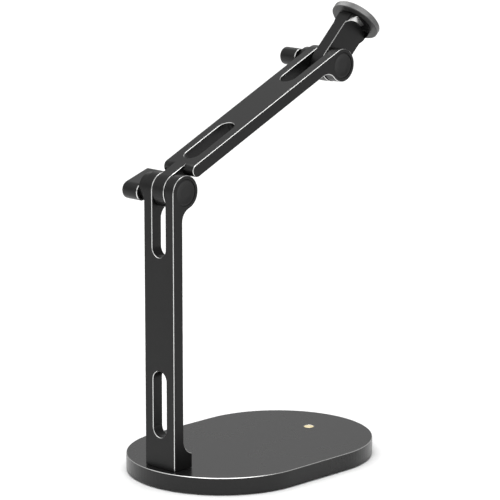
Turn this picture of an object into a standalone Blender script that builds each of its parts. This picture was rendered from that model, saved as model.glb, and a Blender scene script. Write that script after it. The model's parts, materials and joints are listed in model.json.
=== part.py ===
"""Articulated desktop arm: a weighted stadium base, an upright post and a tilting arm, both cut from
flat bar with long slots, and a swivelling head link with a threaded stud and a knurled locking disc.

Run with: blender --background --python part.py

World frame: metres, +Z up. The origin is the centre of the base's underside, +X runs along the base
from the post towards the free end, and +Y points to the side where the clamping levers are.
Each bar is drawn in its own frame: X along the bar, Y across it and Z out of its upper (rear) face.
"""
import math

import bmesh
import bpy
from mathutils import Matrix, Vector

MM = 0.001

# Clearances
GAP = 0.3 * MM                  # between pieces that touch or sit in each other
RUNNING_GAP = 0.2 * MM          # round a turning shaft

# Base
BASE_LENGTH = 182.0 * MM
BASE_WIDTH = 128.0 * MM
BASE_TOP = 11.9 * MM
BASE_UNDERSIDE = 0.9 * MM
PAD_INSET = 4.0 * MM
PAD_HEIGHT = 1.8 * MM
INSERT_X = 57.5 * MM
INSERT_RADIUS = 3.3 * MM
INSERT_DEPTH = 6.0 * MM

# Flat bar that the post and the arm are cut from
BAR_WIDTH = 27.0 * MM
BAR_THICKNESS = 8.5 * MM
SLOT_WIDTH = 12.4 * MM
SLOT_LENGTH = 44.5 * MM

# Fork at the upper end of each bar
EAR_RADIUS = 11.2 * MM
FORK_DEPTH = 42.9 * MM          # from the pivot to the bottom of the fork slot
NECK_RADIUS = 9.0 * MM          # hollow between the bar's inner face and the round ears

# Tongues that turn in the forks
TONGUE_WIDTH = 9.8 * MM
ARM_TONGUE_RADIUS = 11.5 * MM
HEAD_TONGUE_RADIUS = 11.8 * MM

# Pose as modelled
LOWER_PIVOT = Vector((-73.3 * MM, 0.0, 195.5 * MM))
ARM_ANGLE = math.radians(24.0)
ARM_LENGTH = 162.3 * MM         # pivot to pivot, along the bar
HEAD_ANGLE = math.radians(44.3)
LOWER_LEVER_ANGLE = math.radians(30.0)
UPPER_LEVER_ANGLE = math.radians(-25.0)

# Post
POST_HEIGHT = LOWER_PIVOT.z - BASE_TOP
POST_SLOT_START = 20.7 * MM     # above the base's top
FOOT_REACH = 16.1 * MM          # from the rear face to the front of the foot
FOOT_FILLET = 10.0 * MM
SCREW_SPACING = 15.0 * MM
SCREW_RADIUS = 2.5 * MM
SCREW_LENGTH = 17.0 * MM
SCREW_HEAD_RADIUS = 4.3 * MM
SCREW_HEAD_HEIGHT = 3.0 * MM

# Arm
ARM_END_X = 11.15 * MM          # where the full-width bar ends, short of the lower ears
ARM_SLOT_START = 21.1 * MM

# Pivot hardware
BOLT_RADIUS = 4.0 * MM
BOLT_TIP_Y = 25.0 * MM
BOLT_HEAD_RADIUS = 7.5 * MM
BOLT_HEAD_HEIGHT = 2.6 * MM
CAP_RADIUS = 8.7 * MM
CAP_HEIGHT = 1.1 * MM
CAP_POCKET_DEPTH = 4.5 * MM
WASHER_RADIUS = 10.8 * MM
THRUST_WASHER_RADIUS = 9.8 * MM
THRUST_WASHER_HEIGHT = 0.8 * MM
HUB_RADIUS = 9.4 * MM
HUB_END_Y = 19.9 * MM

# Clamping levers
LEVER_OUTER_Y = 34.5 * MM
LEVER_BUTT_RADIUS = 6.0 * MM
LEVER_BUTT_REACH = 6.1 * MM     # pivot to the centre of the round butt
LEVER_TIP_RADIUS = 2.0 * MM
LEVER_TIP_REACH = 13.1 * MM     # pivot to the centre of the tip

# Head
HEAD_FRONT_FACE = -9.9 * MM
TONGUE_END = 35.0 * MM
COLLAR_FOOT = 23.0 * MM
COLLAR_TOP = 36.1 * MM
COLLAR_RADIUS = 12.2 * MM
COLLAR_OFFSET = -0.45 * MM      # the collar stands back from the tongue's rear face
FLAT_ARC_RADIUS = 15.3 * MM     # the flats of the tongue end in an arc under the collar
FLAT_ARC_CENTRE = (20.1 * MM, -2.2 * MM)
FLAT_WALL_TOP = 35.8 * MM
FLAT_FLARE = 3.5 * MM           # how far the wall of the flats leans out towards the rear face
FLAT_FLARE_DEPTH = 3.6 * MM
STUD_RADIUS = 4.76 * MM
STUD_BOTTOM = 20.0 * MM
SHANK_RADIUS = 3.6 * MM         # the part of the stud inside the tongue
STUD_TOP = 45.4 * MM
DISC_RADIUS = 17.35 * MM
DISC_BOTTOM = 36.4 * MM
DISC_TOP = 40.8 * MM

# Segments of round shapes
FINE = 64
COARSE = 32


# ---------------------------------------------------------------- scene, materials and frames

def clear_scene():
    for item in list(bpy.data.objects):
        bpy.data.objects.remove(item, do_unlink=True)


def new_collection(name):
    collection = bpy.data.collections.new(name)
    bpy.context.scene.collection.children.link(collection)
    return collection


def new_material(name, colour, roughness, metallic):
    material = bpy.data.materials.new(name)
    material.use_nodes = True
    shader = material.node_tree.nodes["Principled BSDF"]
    shader.inputs["Base Color"].default_value = (*colour, 1.0)
    shader.inputs["Roughness"].default_value = roughness
    shader.inputs["Metallic"].default_value = metallic
    return material


def new_frame(name, location, angle, parent=None):
    """An empty whose X axis rises from the horizontal by angle."""
    empty = bpy.data.objects.new(name, None)
    PARTS.objects.link(empty)
    empty.empty_display_size = 10.0 * MM
    empty.matrix_world = Matrix.Translation(location) @ Matrix.Rotation(-angle, 4, "Y")
    if parent is not None:
        world = empty.matrix_world.copy()
        empty.parent = parent
        empty.matrix_parent_inverse = parent.matrix_world.inverted()
        empty.matrix_world = world
    bpy.context.view_layer.update()
    return empty


# ---------------------------------------------------------------- shape helpers

def arc(centre, radius, start, end, steps):
    """Points of an arc from start to end in degrees, both ends included."""
    points = []
    for step in range(steps + 1):
        angle = math.radians(start + (end - start) * step / steps)
        points.append((centre[0] + radius * math.cos(angle), centre[1] + radius * math.sin(angle)))
    return points


def stadium(length, width, centre=(0.0, 0.0), steps=FINE // 2):
    """A slot-shaped outline along the first axis."""
    radius = width / 2
    reach = length / 2 - radius
    right = arc((centre[0] + reach, centre[1]), radius, -90, 90, steps)
    left = arc((centre[0] - reach, centre[1]), radius, 90, 270, steps)
    return right + left


def adopt(item, frame, collection, material):
    if material is not None:
        item.data.materials.clear()
        item.data.materials.append(material)
    collection.objects.link(item)
    item.parent = frame
    if collection is CUTTERS:
        item.hide_render = True
        item.display_type = "WIRE"
    return item


def extruded(name, outline, thickness, turn, frame, material=None, shift=(0.0, 0.0, 0.0)):
    """A flat outline filled and extruded both ways, turned and shifted in its frame, as a mesh."""
    curve = bpy.data.curves.new(name, "CURVE")
    curve.dimensions = "2D"
    curve.fill_mode = "BOTH"
    curve.extrude = thickness / 2
    spline = curve.splines.new("POLY")
    spline.points.add(len(outline) - 1)
    for point, place in zip(spline.points, outline):
        point.co = (place[0], place[1], 0.0, 1.0)
    spline.use_cyclic_u = True
    source = bpy.data.objects.new(name + "_curve", curve)
    bpy.context.scene.collection.objects.link(source)
    bpy.context.view_layer.update()
    evaluated = source.evaluated_get(bpy.context.evaluated_depsgraph_get())
    mesh = bpy.data.meshes.new_from_object(evaluated)
    bpy.data.objects.remove(source, do_unlink=True)
    weld(mesh)
    mesh.transform(Matrix.Translation(shift) @ turn)
    return adopt(bpy.data.objects.new(name, mesh), frame, PARTS if material else CUTTERS, material)


def weld(mesh):
    work = bmesh.new()
    work.from_mesh(mesh)
    bmesh.ops.remove_doubles(work, verts=work.verts, dist=1e-6)
    bmesh.ops.recalc_face_normals(work, faces=work.faces)
    work.to_mesh(mesh)
    work.free()


def side_plate(name, outline, width, frame, material=None, centre_y=0.0):
    """An outline in the frame's XZ plane, extruded across it along Y."""
    turn = Matrix.Rotation(math.radians(90), 4, "X")
    return extruded(name, outline, width, turn, frame, material, (0.0, centre_y, 0.0))


def flat_plate(name, outline, bottom, top, frame, material=None):
    """An outline in the frame's XY plane, extruded along Z from bottom to top."""
    return extruded(name, outline, top - bottom, Matrix(), frame, material, (0.0, 0.0, (bottom + top) / 2))


def cylinder(name, radius, start, end, axis, frame, material=None, centre=(0.0, 0.0, 0.0), segments=FINE):
    """A round bar along one axis of its frame, from start to end."""
    turns = {"X": Matrix.Rotation(math.radians(90), 4, "Y"),
             "Y": Matrix.Rotation(math.radians(-90), 4, "X"),
             "Z": Matrix()}
    mesh = bpy.data.meshes.new(name)
    work = bmesh.new()
    bmesh.ops.create_cone(work, cap_ends=True, segments=segments, radius1=radius, radius2=radius,
                          depth=end - start)
    work.to_mesh(mesh)
    work.free()
    middle = Matrix.Translation((0.0, 0.0, (start + end) / 2))
    mesh.transform(Matrix.Translation(centre) @ turns[axis] @ middle)
    item = adopt(bpy.data.objects.new(name, mesh), frame, PARTS if material else CUTTERS, material)
    if material:
        shade_round(item)
    return item


def turned(name, profile, frame, material=None, segments=FINE):
    """A profile of (radius, X) points, listed from the far end back, turned about the frame's X axis."""
    mesh = bpy.data.meshes.new(name)
    points = [(radius, 0.0, along) for radius, along in profile]
    mesh.from_pydata(points, [(i, i + 1) for i in range(len(points) - 1)], [])
    item = adopt(bpy.data.objects.new(name, mesh), frame, PARTS if material else CUTTERS, material)
    item.rotation_euler = (0.0, math.radians(90), 0.0)
    screw = item.modifiers.new("turn", "SCREW")
    screw.axis = "Z"
    screw.steps = segments
    screw.render_steps = segments
    screw.use_merge_vertices = True
    screw.merge_threshold = 1e-6
    return item


def shade_round(item):
    item.data.shade_smooth()
    item.data.set_sharp_from_angle(angle=math.radians(30))


def boolean(item, cutter, operation="DIFFERENCE"):
    modifier = item.modifiers.new(operation.lower() + "_" + cutter.name, "BOOLEAN")
    modifier.operation = operation
    modifier.object = cutter
    modifier.solver = "EXACT"
    return modifier


# ---------------------------------------------------------------- base

def build_base(frame):
    outline = stadium(BASE_LENGTH, BASE_WIDTH, steps=FINE)
    plate = flat_plate("base_plate", outline, BASE_UNDERSIDE, BASE_TOP, frame, BLACK_METAL)
    pad_length = BASE_LENGTH - 2 * PAD_INSET
    pad_width = BASE_WIDTH - 2 * PAD_INSET
    recess = flat_plate("cut_pad_recess", stadium(pad_length + 2 * GAP, pad_width + 2 * GAP),
                        -5 * MM, PAD_HEIGHT + GAP, frame)
    boolean(plate, recess)
    flat_plate("base_pad", stadium(pad_length, pad_width), 0.0, PAD_HEIGHT, frame, RUBBER)

    place = (INSERT_X, 0.0, 0.0)
    pocket = cylinder("cut_insert_pocket", INSERT_RADIUS + GAP / 2, BASE_TOP - INSERT_DEPTH - GAP,
                      BASE_TOP + 5 * MM, "Z", frame, centre=place, segments=COARSE)
    boolean(plate, pocket)
    cylinder("brass_insert", INSERT_RADIUS, BASE_TOP - INSERT_DEPTH, BASE_TOP, "Z", frame, BRASS,
             place, COARSE)
    return plate


def build_post_screws(frame, plate, post):
    """Two cap screws that hold the post from under the base plate."""
    head_bottom = PAD_HEIGHT + 2 * GAP
    head_top = head_bottom + SCREW_HEAD_HEIGHT
    foot_centre = LOWER_PIVOT.x - EAR_RADIUS + FOOT_REACH / 2
    for side, label in ((-1, "near"), (1, "far")):
        place = (foot_centre, side * SCREW_SPACING / 2, 0.0)
        shank = cylinder("post_screw_" + label, SCREW_RADIUS, head_bottom + 1 * MM,
                         head_top + SCREW_LENGTH, "Z", frame, STEEL, place, COARSE)
        head = cylinder("add_screw_head_" + label, SCREW_HEAD_RADIUS, head_bottom, head_top, "Z",
                        frame, None, place, COARSE)
        boolean(shank, head, "UNION")
        hole = cylinder("cut_screw_hole_" + label, SCREW_RADIUS + GAP, -5 * MM,
                        head_top + SCREW_LENGTH + 1 * MM, "Z", frame, None, place, COARSE)
        seat = cylinder("cut_screw_seat_" + label, SCREW_HEAD_RADIUS + GAP, -5 * MM, head_top + GAP,
                        "Z", frame, None, place, COARSE)
        boolean(plate, hole)
        boolean(plate, seat)
        boolean(post, hole)


# ---------------------------------------------------------------- bars

def fork_outline(face, pivot_x=0.0, pivot_z=0.0):
    """The upper end of a bar, from its inner face round the ears to its outer face.

    face is the height of the bar's outer face over the pivot's frame.
    """
    inner = face - BAR_THICKNESS
    hollow_z = inner - NECK_RADIUS
    reach = NECK_RADIUS + EAR_RADIUS
    hollow_x = pivot_x - math.sqrt(reach ** 2 - (hollow_z - pivot_z) ** 2)
    meet = math.degrees(math.atan2(hollow_z - pivot_z, hollow_x - pivot_x))
    hollow = arc((hollow_x, hollow_z), NECK_RADIUS, 90, meet + 180, 10)
    ear = arc((pivot_x, pivot_z), EAR_RADIUS, meet, 90, 40)
    return hollow + ear[1:]


def slot_cutter(name, start, length, frame):
    """A stadium-shaped cutter through the bar's thickness, with its end at start."""
    centre = (start + length / 2, 0.0)
    return flat_plate(name, stadium(length, SLOT_WIDTH, centre, COARSE // 2), -40 * MM, 40 * MM, frame)


def cut_pivot_holes(item, label, frame):
    """The bore through both ears and the pocket that holds the bolt head and its cap."""
    bore = cylinder("cut_ear_bore_" + label, BOLT_RADIUS + RUNNING_GAP, -BAR_WIDTH, BAR_WIDTH, "Y",
                    frame, segments=COARSE)
    boolean(item, bore)
    face = -BAR_WIDTH / 2
    pocket = cylinder("cut_cap_pocket_" + label, CAP_RADIUS + GAP / 2, face - 5 * MM,
                      face + CAP_POCKET_DEPTH, "Y", frame)
    boolean(item, pocket)


def build_post(frame):
    """The upright: its foot stands on the base and its fork carries the arm."""
    outer = EAR_RADIUS
    inner = outer - BAR_THICKNESS
    bottom = -POST_HEIGHT + GAP
    foot_front = outer - FOOT_REACH
    hollow_z = inner - FOOT_FILLET
    drop = math.sqrt(FOOT_FILLET ** 2 - (foot_front - hollow_z) ** 2)
    hollow_x = -POST_HEIGHT + 9.8 * MM + drop
    start = 180 - math.degrees(math.asin((foot_front - hollow_z) / FOOT_FILLET))
    outline = [(bottom, outer), (bottom, foot_front)]
    outline += arc((hollow_x, hollow_z), FOOT_FILLET, start, 90, 12)
    outline += fork_outline(outer)
    post = side_plate("post", outline, BAR_WIDTH, frame, BLACK_METAL)
    boolean(post, slot_cutter("cut_post_slot", POST_SLOT_START - POST_HEIGHT, SLOT_LENGTH, frame))
    boolean(post, slot_cutter("cut_post_fork", -FORK_DEPTH, 80 * MM, frame))
    cut_pivot_holes(post, "lower", frame)
    return post


def build_arm(frame, upper_frame):
    """The arm: a tongue turns in the post's fork, and its own fork carries the head."""
    outer = ARM_TONGUE_RADIUS
    inner = outer - BAR_THICKNESS
    hollow_z = inner - NECK_RADIUS
    hollow_x = math.sqrt((NECK_RADIUS + ARM_TONGUE_RADIUS) ** 2 - hollow_z ** 2)
    meet = math.degrees(math.atan2(hollow_z, hollow_x))
    outline = arc((0.0, 0.0), ARM_TONGUE_RADIUS, 90, 360 + meet, 44)
    outline += arc((hollow_x, hollow_z), NECK_RADIUS, 180 + meet, 90, 10)[1:]
    outline += fork_outline(outer, ARM_LENGTH, outer - EAR_RADIUS)
    arm = side_plate("arm", outline, BAR_WIDTH, frame, BLACK_METAL)

    # the full-width bar ends in a half round; beside the tongue everything else is cut away
    round_radius = BAR_THICKNESS / 2
    round_x = ARM_END_X + round_radius
    far = -30 * MM
    end = [(round_x, 30 * MM)]
    end += arc((round_x, inner + round_radius), round_radius, 90, 270, 16)
    end += [(hollow_x, inner), (hollow_x, far), (far, far), (far, 30 * MM)]
    side_width = 20 * MM
    for side, label in ((-1, "near"), (1, "far")):
        centre_y = side * (TONGUE_WIDTH + side_width) / 2
        boolean(arm, side_plate("cut_arm_end_" + label, end, side_width, frame, None, centre_y))

    boolean(arm, slot_cutter("cut_arm_slot", ARM_SLOT_START, SLOT_LENGTH, frame))
    boolean(arm, slot_cutter("cut_arm_fork", ARM_LENGTH - FORK_DEPTH, 80 * MM, frame))
    bore = cylinder("cut_arm_bore", BOLT_RADIUS + RUNNING_GAP, -BAR_WIDTH, BAR_WIDTH, "Y", frame,
                    segments=COARSE)
    boolean(arm, bore)
    cut_pivot_holes(arm, "upper", upper_frame)
    return arm


# ---------------------------------------------------------------- pivots and levers

def build_pivot(label, frame):
    """The bolt, its cap, two friction washers beside the tongue and a thrust washer under the hub."""
    face = -BAR_WIDTH / 2
    seat = face + CAP_POCKET_DEPTH
    bolt = cylinder(label + "_pivot_bolt", BOLT_RADIUS, seat - BOLT_HEAD_HEIGHT, BOLT_TIP_Y, "Y", frame,
                    STEEL, segments=COARSE)
    head = cylinder("add_bolt_head_" + label, BOLT_HEAD_RADIUS, seat - GAP - BOLT_HEAD_HEIGHT,
                    seat - GAP, "Y", frame, segments=COARSE)
    boolean(bolt, head, "UNION")
    cap_face = face + 0.25 * MM
    cylinder(label + "_pivot_cap", CAP_RADIUS, cap_face, cap_face + CAP_HEIGHT, "Y", frame, BLACK_PLASTIC)

    bore = cylinder("cut_washer_bore_" + label, BOLT_RADIUS + RUNNING_GAP, -BAR_WIDTH, BAR_WIDTH, "Y",
                    frame, segments=COARSE)
    for side, place in ((-1, "near"), (1, "far")):
        first = side * (TONGUE_WIDTH / 2 + GAP)
        second = side * (SLOT_WIDTH / 2 - GAP)
        washer = cylinder("{}_friction_washer_{}".format(label, place), WASHER_RADIUS,
                          min(first, second), max(first, second), "Y", frame, BLACK_PLASTIC)
        boolean(washer, bore)
    thrust_y = -face + GAP
    thrust = cylinder(label + "_thrust_washer", THRUST_WASHER_RADIUS, thrust_y,
                      thrust_y + THRUST_WASHER_HEIGHT, "Y", frame, STEEL)
    boolean(thrust, bore)
    return thrust_y + THRUST_WASHER_HEIGHT


def build_lever(label, frame, hub_start):
    """A round hub on the bolt and a drop-shaped lever on the hub."""
    bore = cylinder("cut_hub_bore_" + label, BOLT_RADIUS + RUNNING_GAP, 0.0, BOLT_TIP_Y + GAP, "Y", frame,
                    segments=COARSE)
    hub = cylinder(label + "_hub", HUB_RADIUS, hub_start + GAP, HUB_END_Y, "Y", frame, BLACK_METAL)
    boolean(hub, bore)

    reach = LEVER_BUTT_REACH + LEVER_TIP_REACH
    lean = 90 - math.degrees(math.asin((LEVER_BUTT_RADIUS - LEVER_TIP_RADIUS) / reach))
    outline = arc((-LEVER_BUTT_REACH, 0.0), LEVER_BUTT_RADIUS, lean, 360 - lean, 30)
    outline += arc((LEVER_TIP_REACH, 0.0), LEVER_TIP_RADIUS, -lean, lean, 12)
    inner_y = HUB_END_Y + GAP
    lever = side_plate(label + "_lever", outline, LEVER_OUTER_Y - inner_y, frame, BLACK_METAL,
                       (inner_y + LEVER_OUTER_Y) / 2)
    boolean(lever, bore)


# ---------------------------------------------------------------- head

def lofted(name, sections, frame):
    """A cutter through outlines of equal length in the frame's XZ plane, each at its own Y."""
    work = bmesh.new()
    rows = [[work.verts.new((x, y, z)) for x, z in outline] for y, outline in sections]
    work.faces.new(rows[0])
    work.faces.new(rows[-1])
    for first, second in zip(rows, rows[1:]):
        for place in range(len(first)):
            work.faces.new((first[place - 1], first[place], second[place], second[place - 1]))
    bmesh.ops.recalc_face_normals(work, faces=work.faces)
    mesh = bpy.data.meshes.new(name)
    work.to_mesh(mesh)
    work.free()
    return adopt(bpy.data.objects.new(name, mesh), frame, CUTTERS, None)


def flat_outline(share):
    """The outline of a flat of the tongue; share is how much of the wall's lean it has."""
    far = -40 * MM
    centre = FLAT_ARC_CENTRE
    room = FLAT_WALL_TOP - centre[0]
    points = [(far, centre[1] - FLAT_ARC_RADIUS)]
    for step in range(41):
        turn = math.radians(-90 + 180 * step / 40)
        lean = 0.0
        if turn > 0:
            lean = min(FLAT_FLARE, room / max(math.cos(turn), 0.01) - FLAT_ARC_RADIUS)
        reach = FLAT_ARC_RADIUS + share * lean
        points.append((centre[0] + reach * math.cos(turn), centre[1] + reach * math.sin(turn)))
    points.append((far, centre[1] + FLAT_ARC_RADIUS + share * FLAT_FLARE))
    return points


def build_head(frame):
    """The head link: a flat tongue that ends in a round collar under the locking disc."""
    outer = HEAD_TONGUE_RADIUS
    meet = math.degrees(math.asin(HEAD_FRONT_FACE / outer))
    outline = arc((0.0, 0.0), outer, 90, 360 + meet, 44)
    outline += [(TONGUE_END, HEAD_FRONT_FACE), (TONGUE_END, outer)]
    link = side_plate("head_link", outline, TONGUE_WIDTH + 0.6 * MM, frame, BLACK_METAL)
    profile = [(0.0, COLLAR_TOP), (COLLAR_RADIUS, COLLAR_TOP), (COLLAR_RADIUS, 30.8 * MM),
               (11.9 * MM, 29.3 * MM), (11.5 * MM, 28.2 * MM), (11.0 * MM, 27.0 * MM),
               (10.5 * MM, 25.8 * MM), (10.1 * MM, 24.6 * MM), (9.3 * MM, COLLAR_FOOT), (0.0, COLLAR_FOOT)]
    collar = turned("add_collar", profile, frame)
    collar.location.z = COLLAR_OFFSET
    boolean(link, collar, "UNION")
    face = TONGUE_WIDTH / 2
    for side, label in ((-1, "near"), (1, "far")):
        sections = [(side * (face + depth), flat_outline(share))
                    for depth, share in ((0.0, 0.0), (FLAT_FLARE_DEPTH / 3, 0.57), (FLAT_FLARE_DEPTH, 1.0),
                                         (30 * MM, 1.0))]
        boolean(link, lofted("cut_head_flat_" + label, sections, frame))
    bore = cylinder("cut_head_bore", BOLT_RADIUS + RUNNING_GAP, -BAR_WIDTH, BAR_WIDTH, "Y", frame,
                    segments=COARSE)
    boolean(link, bore)
    stud_hole = cylinder("cut_stud_hole", SHANK_RADIUS + GAP / 2, STUD_BOTTOM - GAP, 60 * MM, "X", frame,
                         segments=COARSE)
    boolean(link, stud_hole)


def build_head_hardware(frame):
    """The threaded stud and the knurled disc that locks what is screwed on it."""
    stud_tip = 1.0 * MM
    profile = [(0.0, STUD_TOP), (STUD_RADIUS - stud_tip, STUD_TOP), (STUD_RADIUS, STUD_TOP - stud_tip),
               (STUD_RADIUS, COLLAR_TOP + GAP), (SHANK_RADIUS, COLLAR_TOP + GAP),
               (SHANK_RADIUS, STUD_BOTTOM), (0.0, STUD_BOTTOM)]
    stud = turned("mount_stud", profile, frame, STEEL, COARSE)
    shade_round(stud)
    rim = 0.6 * MM
    profile = [(0.0, DISC_TOP), (DISC_RADIUS - rim, DISC_TOP), (DISC_RADIUS, DISC_TOP - rim),
               (DISC_RADIUS, DISC_BOTTOM + rim), (DISC_RADIUS - rim, DISC_BOTTOM), (0.0, DISC_BOTTOM)]
    disc = turned("locking_disc", profile, frame, GREY_METAL)
    hole = cylinder("cut_disc_hole", STUD_RADIUS + GAP, DISC_BOTTOM - 5 * MM, DISC_TOP + 5 * MM, "X",
                    frame, segments=COARSE)
    boolean(disc, hole)
    shade_round(disc)


# ---------------------------------------------------------------- assembly

clear_scene()
PARTS = new_collection("desktop_arm")
CUTTERS = new_collection("cutters")
BLACK_METAL = new_material("black_metal", (0.035, 0.035, 0.036), 0.45, 0.6)
BLACK_PLASTIC = new_material("black_plastic", (0.02, 0.02, 0.02), 0.55, 0.0)
GREY_METAL = new_material("grey_metal", (0.25, 0.25, 0.25), 0.4, 0.8)
STEEL = new_material("steel", (0.5, 0.5, 0.5), 0.35, 1.0)
BRASS = new_material("brass", (0.8, 0.62, 0.3), 0.25, 1.0)
RUBBER = new_material("rubber", (0.02, 0.02, 0.02), 0.9, 0.0)

base_frame = new_frame("base_frame", Vector((0.0, 0.0, 0.0)), 0.0)
post_frame = new_frame("post_frame", LOWER_PIVOT, math.radians(90))
arm_frame = new_frame("arm_frame", LOWER_PIVOT, ARM_ANGLE)
UPPER_PIVOT = arm_frame.matrix_world @ Vector((ARM_LENGTH, 0.0, ARM_TONGUE_RADIUS - EAR_RADIUS))
upper_frame = new_frame("upper_frame", UPPER_PIVOT, ARM_ANGLE, arm_frame)
head_frame = new_frame("head_frame", UPPER_PIVOT, HEAD_ANGLE, upper_frame)
lower_lever_frame = new_frame("lower_lever_frame", LOWER_PIVOT, LOWER_LEVER_ANGLE)
upper_lever_frame = new_frame("upper_lever_frame", UPPER_PIVOT, UPPER_LEVER_ANGLE, upper_frame)

base_plate = build_base(base_frame)
post_bar = build_post(post_frame)
build_post_screws(base_frame, base_plate, post_bar)
arm_bar = build_arm(arm_frame, upper_frame)
build_lever("lower", lower_lever_frame, build_pivot("lower", post_frame))
build_lever("upper", upper_lever_frame, build_pivot("upper", upper_frame))
build_head(head_frame)
build_head_hardware(head_frame)
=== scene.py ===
"""Articulated desktop arm: the looks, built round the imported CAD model."""
import json
import math

import bmesh
import bpy
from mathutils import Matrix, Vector


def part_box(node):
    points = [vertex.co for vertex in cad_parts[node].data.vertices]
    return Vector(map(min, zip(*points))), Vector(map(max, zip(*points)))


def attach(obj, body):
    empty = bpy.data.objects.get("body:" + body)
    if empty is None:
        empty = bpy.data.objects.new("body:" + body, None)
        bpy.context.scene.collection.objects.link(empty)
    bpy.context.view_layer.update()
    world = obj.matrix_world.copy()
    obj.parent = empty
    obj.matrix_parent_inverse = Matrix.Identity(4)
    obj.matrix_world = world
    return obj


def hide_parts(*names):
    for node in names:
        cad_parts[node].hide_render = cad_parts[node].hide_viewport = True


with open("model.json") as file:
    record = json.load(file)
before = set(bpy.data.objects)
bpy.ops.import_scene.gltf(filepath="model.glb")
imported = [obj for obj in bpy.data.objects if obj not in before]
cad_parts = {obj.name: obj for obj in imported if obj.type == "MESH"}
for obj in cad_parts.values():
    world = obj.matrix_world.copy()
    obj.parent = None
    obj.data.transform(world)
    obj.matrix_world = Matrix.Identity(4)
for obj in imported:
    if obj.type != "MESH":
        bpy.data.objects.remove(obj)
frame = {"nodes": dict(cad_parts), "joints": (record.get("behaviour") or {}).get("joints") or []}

MM = 0.001
NODES = frame["nodes"]
JOINTS = {joint["name"]: joint for joint in frame["joints"]}
bpy.context.view_layer.update()

# ---------------------------------------------------------------- places taken from the frame
LOWER_PIVOT = Vector(JOINTS["lower_pivot"]["pos_m"])
UPPER_PIVOT = Vector(JOINTS["upper_pivot"]["pos_m"])
HEAD_AXIS = Vector(JOINTS["disc_turn"]["axis"]).normalized()
REAR = Vector((-HEAD_AXIS.z, 0.0, HEAD_AXIS.x))
BASE_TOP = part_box("base_plate")[1].z
EAR_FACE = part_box("post")[0].y                  # the near face of the bars

# the finish of the edges
EDGE_CHAMFER = 0.33 * MM                        # on the bars
RIM_CHAMFER = 0.34 * MM                         # round the top of the base plate
LEVER_CHAMFER = 0.42 * MM                       # on the side of a lever that faces the fork
LEVER_ROUND = 1.4 * MM                          # on its outer side
PAD_ROUND = 0.5 * MM
POCKET_REACH = 9.4 * MM                         # edges this close to a pivot stay unbroken
SHARP = math.radians(35)                        # edges flatter than this stay unbroken
TOUCH = 0.05 * MM                               # places closer than this count as the same
BROAD = 30 * MM ** 2                            # faces larger than this are shaded flat
CLOSE = 0.3 * MM                                # the CAD's gap between pieces that touch
RUNNING_GAP = 0.03 * MM                         # between a clamp's hub and the ring it turns on
BOLT_BORE = 4.1 * MM
TONGUE_FACE = 4.9 * MM                          # the link's flats, from its middle
TONGUE_REAR = 11.8 * MM                         # the link's rear face, from the pivot
FRONT_EDGE_END = 26.0 * MM                      # where the flats' front edges run into the collar
REAR_EDGE_END = 29.0 * MM
WALL_CENTRE = (20.1 * MM, -2.2 * MM)            # the arc in which the flats end: along, to the rear
WALL_REACH = 8.6 * MM                           # how far from the link's middle its wall leans out
STUD_RADIUS = 4.76 * MM
SHANK_RADIUS = 3.6 * MM                         # the part of the stud inside the link
DISC_RADIUS = 17.35 * MM

# the screw thread and the knurl
THREAD_PITCH = 25.4 / 16 * MM
THREAD_DEPTH = 0.95 * MM
KNURL_DEPTH = 0.22 * MM
KNURL_TEETH = 110


# ---------------------------------------------------------------- camera, light and floor

def add_camera():
    """A long lens from above the near left corner."""
    azimuth = math.radians(-45.683)
    elevation = math.radians(12.186)
    distance = 1.93596
    target = Vector((-0.00002, 0.00039, 0.1447))
    back = Vector((math.sin(azimuth) * math.cos(elevation), -math.cos(azimuth) * math.cos(elevation),
                   math.sin(elevation)))
    data = bpy.data.cameras.new("camera")
    data.lens = 209.85
    data.sensor_width = 36.0
    data.clip_end = 50.0
    camera = bpy.data.objects.new("camera", data)
    bpy.context.scene.collection.objects.link(camera)
    camera.location = target + back * distance
    camera.rotation_mode = "QUATERNION"
    camera.rotation_quaternion = (-back).to_track_quat("-Z", "Y")
    bpy.context.scene.camera = camera


def add_panel(name, place, aim, width, height, power):
    """A rectangular soft light that faces a point; the camera does not see it."""
    data = bpy.data.lights.new(name, "AREA")
    data.shape = "RECTANGLE"
    data.size = width
    data.size_y = height
    data.energy = power
    light = bpy.data.objects.new(name, data)
    bpy.context.scene.collection.objects.link(light)
    light.location = place
    light.rotation_euler = (Vector(aim) - Vector(place)).to_track_quat("-Z", "Y").to_euler()
    light.visible_camera = False


def add_sun(name, source, angle, strength):
    """A wide soft part of the studio's ceiling, seen in the direction of source."""
    data = bpy.data.lights.new(name, "SUN")
    data.angle = math.radians(angle)
    data.energy = strength
    light = bpy.data.objects.new(name, data)
    bpy.context.scene.collection.objects.link(light)
    light.rotation_euler = Vector(source).to_track_quat("Z", "Y").to_euler()


def add_world(strength):
    world = bpy.data.worlds.new("studio")
    bpy.context.scene.world = world
    world.use_nodes = True
    background = world.node_tree.nodes["Background"]
    background.inputs["Color"].default_value = (1.0, 1.0, 1.0, 1.0)
    background.inputs["Strength"].default_value = strength


def add_floor():
    bpy.ops.mesh.primitive_plane_add(size=60.0)
    floor = bpy.context.object
    floor.name = "floor"
    material = bpy.data.materials.new("floor")
    material.use_nodes = True
    shader = material.node_tree.nodes["Principled BSDF"]
    shader.inputs["Base Color"].default_value = (0.9, 0.9, 0.9, 1.0)
    shader.inputs["Roughness"].default_value = 0.9
    shader.inputs["Specular IOR Level"].default_value = 0.0
    floor.data.materials.append(material)


# ---------------------------------------------------------------- materials

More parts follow.
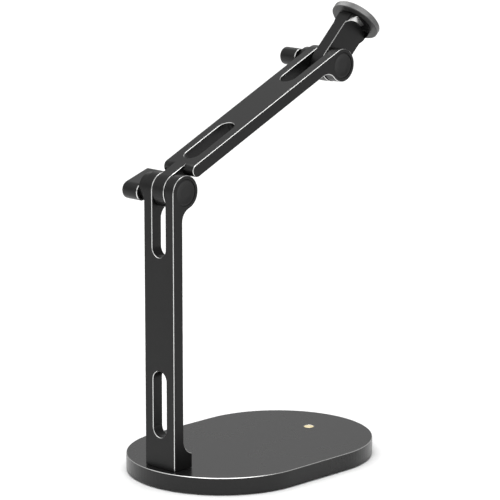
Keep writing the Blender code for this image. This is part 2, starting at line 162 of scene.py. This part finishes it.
class Finish:
    """A Principled material with helpers for the textures that feed it."""

    def __init__(self, name, colour, roughness, metallic=0.0):
        self.material = bpy.data.materials.new(name)
        self.material.use_nodes = True
        self.tree = self.material.node_tree
        self.shader = self.tree.nodes["Principled BSDF"]
        self.set("Base Color", (*colour, 1.0))
        self.set("Roughness", roughness)
        self.set("Metallic", metallic)
        self.place = self.tree.nodes.new("ShaderNodeTexCoord").outputs["Object"]

    def set(self, socket, value):
        self.shader.inputs[socket].default_value = value

    def link(self, output, target):
        self.tree.links.new(output, target)

    def stretched(self, scale):
        mapping = self.tree.nodes.new("ShaderNodeMapping")
        mapping.inputs["Scale"].default_value = scale
        self.link(self.place, mapping.inputs["Vector"])
        return mapping.outputs["Vector"]

    def noise(self, scale, detail=3.0, roughness=0.5, place=None):
        node = self.tree.nodes.new("ShaderNodeTexNoise")
        node.inputs["Scale"].default_value = scale
        node.inputs["Detail"].default_value = detail
        node.inputs["Roughness"].default_value = roughness
        self.link(place or self.place, node.inputs["Vector"])
        return node.outputs["Fac"]

    def spread(self, value, low, high, first=0.3, last=0.7):
        """value remapped from first..last to low..high."""
        node = self.tree.nodes.new("ShaderNodeMapRange")
        node.inputs["From Min"].default_value = first
        node.inputs["From Max"].default_value = last
        node.inputs["To Min"].default_value = low
        node.inputs["To Max"].default_value = high
        self.link(value, node.inputs["Value"])
        return node.outputs["Result"]

    def tint(self, value, dark, light, first=0.3, last=0.7):
        ramp = self.tree.nodes.new("ShaderNodeValToRGB")
        ramp.color_ramp.elements[0].position = first
        ramp.color_ramp.elements[1].position = last
        ramp.color_ramp.elements[0].color = (*dark, 1.0)
        ramp.color_ramp.elements[1].color = (*light, 1.0)
        self.link(value, ramp.inputs["Fac"])
        self.link(ramp.outputs["Color"], self.shader.inputs["Base Color"])

    def grain(self, value, strength, depth):
        bump = self.tree.nodes.new("ShaderNodeBump")
        bump.inputs["Strength"].default_value = strength
        bump.inputs["Distance"].default_value = depth
        self.link(value, bump.inputs["Height"])
        self.link(bump.outputs["Normal"], self.shader.inputs["Normal"])


def anodised_black():
    """Bead-blasted aluminium, dyed black: a dark body under a satin skin with a very fine even grain."""
    finish = Finish("anodised_black", (0.005, 0.005, 0.005), 0.36)
    finish.set("Specular IOR Level", 0.24)
    cloud = finish.noise(35.0, 4.0, 0.6)
    finish.tint(cloud, (0.0042, 0.0042, 0.0043), (0.0062, 0.0062, 0.0061))
    finish.link(finish.spread(cloud, 0.33, 0.39), finish.shader.inputs["Roughness"])
    finish.grain(finish.noise(5200.0, 2.0, 0.6), 0.18, 0.00003)
    return finish.material


def coated_black():
    """The base plate's coating: slightly smoother, with a soft fine orange peel."""
    finish = Finish("coated_black", (0.007, 0.007, 0.007), 0.27)
    finish.set("Specular IOR Level", 0.34)
    cloud = finish.noise(18.0, 4.0, 0.6)
    finish.tint(cloud, (0.006, 0.006, 0.006), (0.009, 0.009, 0.0088))
    finish.link(finish.spread(cloud, 0.25, 0.29), finish.shader.inputs["Roughness"])
    finish.grain(finish.noise(3800.0, 2.0, 0.55), 0.12, 0.00003)
    return finish.material


def cut_edge():
    """Chamfers cut after colouring: bright bare metal with fine tool lines."""
    finish = Finish("cut_edge", (0.8, 0.8, 0.79), 0.24, 1.0)
    lines = finish.noise(900.0, 2.0, 0.5, finish.stretched((1.0, 1.0, 6.0)))
    finish.tint(lines, (0.64, 0.64, 0.635), (0.75, 0.75, 0.74))
    finish.link(finish.spread(lines, 0.2, 0.3), finish.shader.inputs["Roughness"])
    return finish.material


def wall_with_painted_shade():
    """The leaning wall where the link's flats end: bright bare cut metal at the rear, with painted shade
    darkening it towards the front, where the disc above shades it.
    """
    finish = Finish("wall_with_painted_shade", (0.5, 0.5, 0.5), 0.3, 1.0)
    across = finish.tree.nodes.new("ShaderNodeVectorMath")
    across.operation = "DOT_PRODUCT"
    across.inputs[1].default_value = REAR
    finish.link(finish.place, across.inputs[0])
    middle = UPPER_PIVOT.dot(REAR)
    share = finish.spread(across.outputs["Value"], 0.0, 1.0, middle - 8 * MM, middle + 3 * MM)
    # painted shade: the colour falls from bright metal at the rear to near black towards the front,
    # standing in for the shade under the disc
    finish.tint(share, (0.02, 0.02, 0.02), (0.7, 0.7, 0.69), 0.0, 1.0)
    lines = finish.noise(700.0, 2.0, 0.5)
    finish.link(finish.spread(lines, 0.25, 0.35), finish.shader.inputs["Roughness"])
    return finish.material


def grey_metal():
    """The locking disc: grey anodised, satin."""
    finish = Finish("grey_metal", (0.3, 0.3, 0.3), 0.42, 0.75)
    cloud = finish.noise(120.0, 4.0, 0.6)
    finish.tint(cloud, (0.17, 0.17, 0.169), (0.22, 0.22, 0.219))
    finish.link(finish.spread(cloud, 0.38, 0.46), finish.shader.inputs["Roughness"])
    finish.grain(finish.noise(4200.0, 2.0, 0.6), 0.2, 0.00002)
    return finish.material


def painted_shade_underside():
    """The underside of the locking disc: a darker copy of the disc's grey metal, painted shade for the
    side that faces down.
    """
    finish = Finish("painted_shade_underside", (0.06, 0.06, 0.06), 0.45, 0.6)
    cloud = finish.noise(90.0, 4.0, 0.6)
    finish.tint(cloud, (0.05, 0.05, 0.05), (0.075, 0.075, 0.074))
    finish.link(finish.spread(cloud, 0.4, 0.5), finish.shader.inputs["Roughness"])
    finish.grain(finish.noise(3600.0, 2.0, 0.6), 0.2, 0.00002)
    return finish.material


def plated_steel():
    finish = Finish("plated_steel", (0.55, 0.55, 0.55), 0.3, 1.0)
    cloud = finish.noise(160.0, 4.0, 0.6)
    finish.tint(cloud, (0.46, 0.46, 0.46), (0.6, 0.6, 0.59))
    finish.link(finish.spread(cloud, 0.24, 0.36), finish.shader.inputs["Roughness"])
    finish.grain(finish.noise(2500.0, 2.0, 0.5), 0.15, 0.00002)
    return finish.material


def polished_brass():
    finish = Finish("polished_brass", (0.9, 0.77, 0.45), 0.4, 0.7)
    cloud = finish.noise(300.0, 3.0, 0.6)
    finish.tint(cloud, (0.88, 0.74, 0.42), (0.94, 0.83, 0.54))
    finish.link(finish.spread(cloud, 0.36, 0.46), finish.shader.inputs["Roughness"])
    return finish.material


def black_nylon():
    finish = Finish("black_nylon", (0.008, 0.008, 0.008), 0.45)
    finish.set("Specular IOR Level", 0.3)
    cloud = finish.noise(220.0, 3.0, 0.6)
    finish.tint(cloud, (0.006, 0.006, 0.006), (0.010, 0.010, 0.010))
    finish.link(finish.spread(cloud, 0.42, 0.52), finish.shader.inputs["Roughness"])
    finish.grain(finish.noise(3000.0, 3.0, 0.6), 0.2, 0.00002)
    return finish.material


def black_rubber():
    finish = Finish("black_rubber", (0.02, 0.02, 0.02), 0.8)
    cloud = finish.noise(90.0, 4.0, 0.6)
    finish.tint(cloud, (0.016, 0.016, 0.016), (0.028, 0.028, 0.027))
    finish.link(finish.spread(cloud, 0.72, 0.88), finish.shader.inputs["Roughness"])
    finish.grain(finish.noise(1800.0, 3.0, 0.6), 0.4, 0.00005)
    return finish.material


# ---------------------------------------------------------------- shaping helpers

def make_object(name, mesh, materials, body, slot, *nodes):
    """A finished piece: its materials, the body it rides on and the CAD nodes it stands for."""
    for material in materials:
        mesh.materials.append(material)
    piece = bpy.data.objects.new(name, mesh)
    bpy.context.scene.collection.objects.link(piece)
    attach(piece, body)
    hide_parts(*nodes)
    return piece


def smooth(mesh, angle=30.0):
    """Smooth shading across shallow angles; the broad flats stay flat."""
    mesh.shade_smooth()
    mesh.set_sharp_from_angle(angle=math.radians(angle))
    for face in mesh.polygons:
        face.use_smooth = face.area < BROAD


def solid_of(node):
    """The CAD node's surface as a bmesh with its flat faces whole again."""
    work = bmesh.new()
    work.from_mesh(NODES[node].data)
    bmesh.ops.remove_doubles(work, verts=work.verts, dist=1e-6)
    bmesh.ops.dissolve_limit(work, angle_limit=math.radians(0.4), verts=work.verts, edges=work.edges)
    return work


def rings_mesh(name, origin, axis, rings, columns, hollow=False):
    """A round piece about an axis, from rings of (distance along it, radius or radius by column)."""
    axis = axis.normalized()
    across = axis.orthogonal().normalized()
    up = axis.cross(across)
    work = bmesh.new()
    rows = []
    for along, radius in rings:
        row = []
        for column in range(columns):
            turn = math.tau * column / columns
            reach = radius(column) if callable(radius) else radius
            place = origin + axis * along + (across * math.cos(turn) + up * math.sin(turn)) * reach
            row.append(work.verts.new(place))
        rows.append(row)
    pairs = list(zip(rows, rows[1:]))
    if hollow:
        pairs.append((rows[-1], rows[0]))
    else:
        work.faces.new(rows[0])
        work.faces.new(rows[-1])
    for first, second in pairs:
        for column in range(columns):
            after = (column + 1) % columns
            work.faces.new((first[column], first[after], second[after], second[column]))
    bmesh.ops.recalc_face_normals(work, faces=work.faces)
    mesh = bpy.data.meshes.new(name)
    work.to_mesh(mesh)
    work.free()
    return mesh


def round_piece(name, origin, axis, rings, body, slot, material, nodes, columns=96, hollow=False):
    mesh = rings_mesh(name, origin, axis, rings, columns, hollow)
    piece = make_object(name, mesh, (material,), body, slot, *nodes)
    smooth(mesh)
    return piece


def collar(bore, radius, start, end, bevel):
    """Rings of a plain collar with its outer corners rounded."""
    steps = [math.radians(angle) for angle in (0, 30, 60, 90)]
    rings = [(start, bore)]
    rings += [(start + bevel * (1 - math.sin(turn)), radius - bevel * (1 - math.cos(turn)))
              for turn in reversed(steps)]
    rings += [(end - bevel * (1 - math.sin(turn)), radius - bevel * (1 - math.cos(turn)))
              for turn in steps]
    return rings + [(end, bore)]


def pivot_distance(point):
    """How far a point is from the nearer of the two pivot axes."""
    return min(math.hypot(point.x - pivot.x, point.z - pivot.z) for pivot in (LOWER_PIVOT, UPPER_PIVOT))


def sharp_edges(work, keep):
    """The outward sharp edges of the solid for which keep says yes."""
    chosen = []
    for edge in work.edges:
        if len(edge.link_faces) != 2 or edge.calc_face_angle_signed() < SHARP:
            continue
        if keep(*(vert.co for vert in edge.verts)):
            chosen.append(edge)
    return chosen


def finished(name, node, body, slot, materials, *breaks):
    """A copy of a CAD node with its edges broken: (which edges, width, segments, material) for each."""
    work = solid_of(node)
    for keep, width, segments, material in breaks:
        bmesh.ops.bevel(work, geom=sharp_edges(work, keep), offset=width, segments=segments, profile=0.5,
                        affect="EDGES", clamp_overlap=False, material=material)
    mesh = bpy.data.meshes.new(name)
    work.to_mesh(mesh)
    work.free()
    piece = make_object(name, mesh, materials, body, slot, node)
    smooth(mesh)
    return piece


# ---------------------------------------------------------------- pieces

def outside_pockets(first, second):
    above = max(first.z, second.z) > BASE_TOP + 1 * MM
    return above and min(pivot_distance(first), pivot_distance(second)) > POCKET_REACH


def tongue_rim(first, second):
    """The long edges of the link's tongue, up to where they run into the collar."""
    reach = max((point - UPPER_PIVOT).dot(HEAD_AXIS) for point in (first, second))
    flat = max(abs(abs(point.y) - TONGUE_FACE) for point in (first, second)) < TOUCH
    rear = min((point - UPPER_PIVOT).dot(REAR) for point in (first, second)) > TONGUE_REAR - TOUCH
    end = REAR_EDGE_END if rear else FRONT_EDGE_END
    return outside_pockets(first, second) and (flat or rear) and reach < end


def build_bars(metal, edge, wall):
    materials = (metal, edge)
    cut = (outside_pockets, EDGE_CHAMFER, 1, 1)
    finished("post_bar", "post", "stand", "black_anodised", materials, cut)
    finished("arm_bar", "arm", "boom", "black_anodised", materials, cut)
    link = finished("link_bar", "head_link", "head", "black_anodised", (*materials, wall),
                    (tongue_rim, EDGE_CHAMFER, 1, 1))
    # the leaning wall faces the centre of the arc in which the flats end
    centre = UPPER_PIVOT + HEAD_AXIS * WALL_CENTRE[0] + REAR * WALL_CENTRE[1]
    for face in link.data.polygons:
        inward = centre - face.center
        inward.y = 0.0
        leaning = face.normal.dot(inward.normalized()) > 0.2 and abs(face.normal.y) < 0.97
        in_reach = TONGUE_FACE < abs(face.center.y) < WALL_REACH and inward.dot(HEAD_AXIS) < 0.0
        # these faces take the wall material, whose colour carries painted shade towards the front
        if leaning and in_reach and face.material_index == 0:
            face.material_index = 2


def build_base(coat, edge, rubber):
    def rim(first, second):
        return min(first.z, second.z) > BASE_TOP - TOUCH

    finished("plate", "base_plate", "stand", "coated_steel", (coat, edge), (rim, RIM_CHAMFER, 1, 1))

    def foot(first, second):
        return max(first.z, second.z) < TOUCH

    finished("foot_pad", "base_pad", "stand", "rubber", (rubber,), (foot, PAD_ROUND, 3, 0))


def build_insert(brass):
    """The brass insert, its rim just broken, flush with the plate."""
    low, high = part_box("brass_insert")
    middle = (low + high) / 2
    origin = Vector((middle.x, middle.y, 0.0))
    radius = (high.x - low.x) / 2
    rings = [(low.z, radius), (high.z - 0.12 * MM, radius), (high.z, radius - 0.12 * MM)]
    round_piece("insert", origin, Vector((0, 0, 1)), rings, "stand", "brass", brass, ["brass_insert"], 64)


def build_pivot(label, pivot, body, clamp, finishes):
    """What is on one pivot bolt, from the cap in its pocket to the clamping lever."""
    axis = Vector((0, 1, 0))
    origin = Vector((pivot.x, 0.0, pivot.z))
    black, nylon, steel, edge = (finishes[key] for key in ("black", "nylon", "steel", "edge"))

    low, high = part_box(label + "_pivot_cap")
    radius = (high.x - low.x) / 2
    dish = 0.12 * MM
    rings = [(low.y + dish, 0.3 * radius), (low.y + dish, radius - 1.9 * MM), (low.y, radius - 1.6 * MM),
             (low.y, radius - 0.25 * MM), (low.y + 0.1 * MM, radius - 0.07 * MM),
             (low.y + 0.3 * MM, radius), (high.y, radius)]
    round_piece(label + "_cap", origin, axis, rings, body, "black_plastic", nylon,
                [label + "_pivot_cap"])

    ear = -EAR_FACE
    for place in ("near", "far"):
        node = label + "_friction_washer_" + place
        low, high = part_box(node)
        inner = min(abs(low.y), abs(high.y)) - CLOSE
        outer = max(abs(low.y), abs(high.y)) + CLOSE
        start, end = (inner, outer) if place == "far" else (-outer, -inner)
        rings = collar(BOLT_BORE, (high.x - low.x) / 2, start, end, 0.2 * MM)
        round_piece(label + "_washer_" + place, origin, axis, rings, body, "black_plastic", nylon,
                    [node], hollow=True)

    low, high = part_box(label + "_thrust_washer")
    rings = collar(BOLT_BORE, (high.x - low.x) / 2, ear, high.y, 0.15 * MM)
    round_piece(label + "_thrust_ring", origin, axis, rings, body, "steel", steel,
                [label + "_thrust_washer"], hollow=True)
    hub_low, hub_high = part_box(label + "_hub")
    lever_low, lever_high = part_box(label + "_lever")
    rings = collar(BOLT_BORE, (hub_high.x - hub_low.x) / 2, high.y + RUNNING_GAP, lever_low.y, 0.5 * MM)
    round_piece(label + "_hub_ring", origin, axis, rings, clamp, "black_anodised", black,
                [label + "_hub"], hollow=True)

    def inner_rim(first, second):
        return max(first.y, second.y) < lever_low.y + TOUCH and outside_pockets(first, second)

    def outer_rim(first, second):
        return min(first.y, second.y) > lever_high.y - TOUCH

    finished(label + "_clamp_lever", label + "_lever", clamp, "black_anodised", (black, edge),
             (inner_rim, LEVER_CHAMFER, 1, 1), (outer_rim, LEVER_ROUND, 5, 0))


def build_stud(steel):
    """The stud with its thread; the ridge runs out into the chamfered tip."""
    low, high = along_head("mount_stud")
    shoulder = along_head("head_link")[1]
    crest = STUD_RADIUS
    columns = 64
    step = THREAD_PITCH / 8
    rows = int((high - low) / step)

    def radius_at(along, column):
        if along < shoulder:
            return SHANK_RADIUS
        phase = (along / THREAD_PITCH - column / columns) % 1.0
        ridge = min(1.0, max(0.0, 1.25 - abs(phase - 0.5) * 2.5))
        tip = crest - max(0.0, along - (high - 1.1 * MM))
        return min(crest - THREAD_DEPTH * (1.0 - ridge), tip)

    rings = []
    for row in range(rows + 1):
        along = low + (high - low) * row / rows
        rings.append((along, lambda column, along=along: radius_at(along, column)))
    mesh = rings_mesh("stud", UPPER_PIVOT, HEAD_AXIS, rings, columns)
    make_object("stud", mesh, (steel,), "head", "steel", "mount_stud")
    smooth(mesh, 40.0)


def build_disc(grey, dark):
    """The locking disc with its straight knurl; its down-facing underside gets a darker copy of the grey
    as painted shade.
    """
    low, high = along_head("locking_disc")
    columns = 2 * KNURL_TEETH
    rim = DISC_RADIUS
    bore = STUD_RADIUS + 0.1 * MM

    def knurl(column):
        return rim - KNURL_DEPTH * (column % 2)

    rings = [(low + 0.3 * MM, bore), (low, bore + 0.3 * MM), (low, rim - 0.55 * MM),
             (low + 0.3 * MM, rim - 0.26 * MM), (low + 0.42 * MM, knurl),
             (high - 0.42 * MM, knurl), (high - 0.3 * MM, rim - 0.26 * MM),
             (high, rim - 0.55 * MM), (high, rim - 3.2 * MM), (high - 0.35 * MM, rim - 3.5 * MM),
             (high - 0.35 * MM, bore + 2.6 * MM), (high, bore + 2.3 * MM), (high, bore + 0.4 * MM),
             (high - 0.4 * MM, bore)]
    mesh = rings_mesh("knurled_disc", UPPER_PIVOT, HEAD_AXIS, rings, columns, hollow=True)
    # painted shade: the faces that look down take the darker copy of the disc's grey
    for face in mesh.polygons:
        if face.normal.dot(HEAD_AXIS) < -0.3:
            face.material_index = 1
    make_object("knurled_disc", mesh, (grey, dark), "lock_ring", "grey_anodised", "locking_disc")
    smooth(mesh)


def along_head(node):
    """How far a node reaches along the head's axis from the upper pivot."""
    places = [(vertex.co - UPPER_PIVOT).dot(HEAD_AXIS) for vertex in NODES[node].data.vertices]
    return min(places), max(places)


def finish_rest(finishes):
    """Materials for the CAD nodes that keep their shape."""
    shown = {"base_pad": "rubber", "brass_insert": "brass", "locking_disc": "grey",
             "mount_stud": "steel"}
    for name, node in NODES.items():
        if name in shown:
            key = shown[name]
        elif "friction" in name or "cap" in name:
            key = "nylon"
        elif "hub" in name or "lever" in name or name in ("post", "arm", "head_link"):
            key = "black"
        elif name == "base_plate":
            key = "coat"
        else:
            key = "steel"
        for slot in node.material_slots:
            slot.material = finishes[key]


# ---------------------------------------------------------------- assembly
bpy.context.scene.view_settings.view_transform = "Standard"
add_camera()
add_floor()
add_world(0.48)
add_sun("sky_zenith", (0.0, 0.0, 1.0), 60.0, 1.55)
add_sun("sky_left", (-0.6, 0.3, 0.75), 70.0, 0.56)
add_panel("overhead", (0.0, 0.0, 1.5), (0.0, 0.0, 0.0), 1.2, 1.2, 5.5)
add_panel("front_left", (-1.2, -1.2, 1.2), (0.0, 0.0, 0.1), 1.0, 1.0, 2.5)
add_panel("left_low", (-2.6, 0.2, 0.5), (0.0, 0.0, 0.1), 1.6, 0.8, 8.0)
add_panel("far_back", (2.6, 2.6, 2.2), (2.6, 2.6, 0.0), 3.0, 3.0, 17.0)
FINISHES = {"black": anodised_black(), "coat": coated_black(), "edge": cut_edge(), "grey": grey_metal(),
            "dark": painted_shade_underside(), "steel": plated_steel(), "brass": polished_brass(),
            "nylon": black_nylon(), "rubber": black_rubber()}
finish_rest(FINISHES)
build_bars(FINISHES["black"], FINISHES["edge"], wall_with_painted_shade())
build_base(FINISHES["coat"], FINISHES["edge"], FINISHES["rubber"])
build_insert(FINISHES["brass"])
build_pivot("lower", LOWER_PIVOT, "stand", "lower_clamp", FINISHES)
build_pivot("upper", UPPER_PIVOT, "boom", "upper_clamp", FINISHES)
build_stud(FINISHES["steel"])
build_disc(FINISHES["grey"], FINISHES["dark"])

bpy.context.view_layer.update()
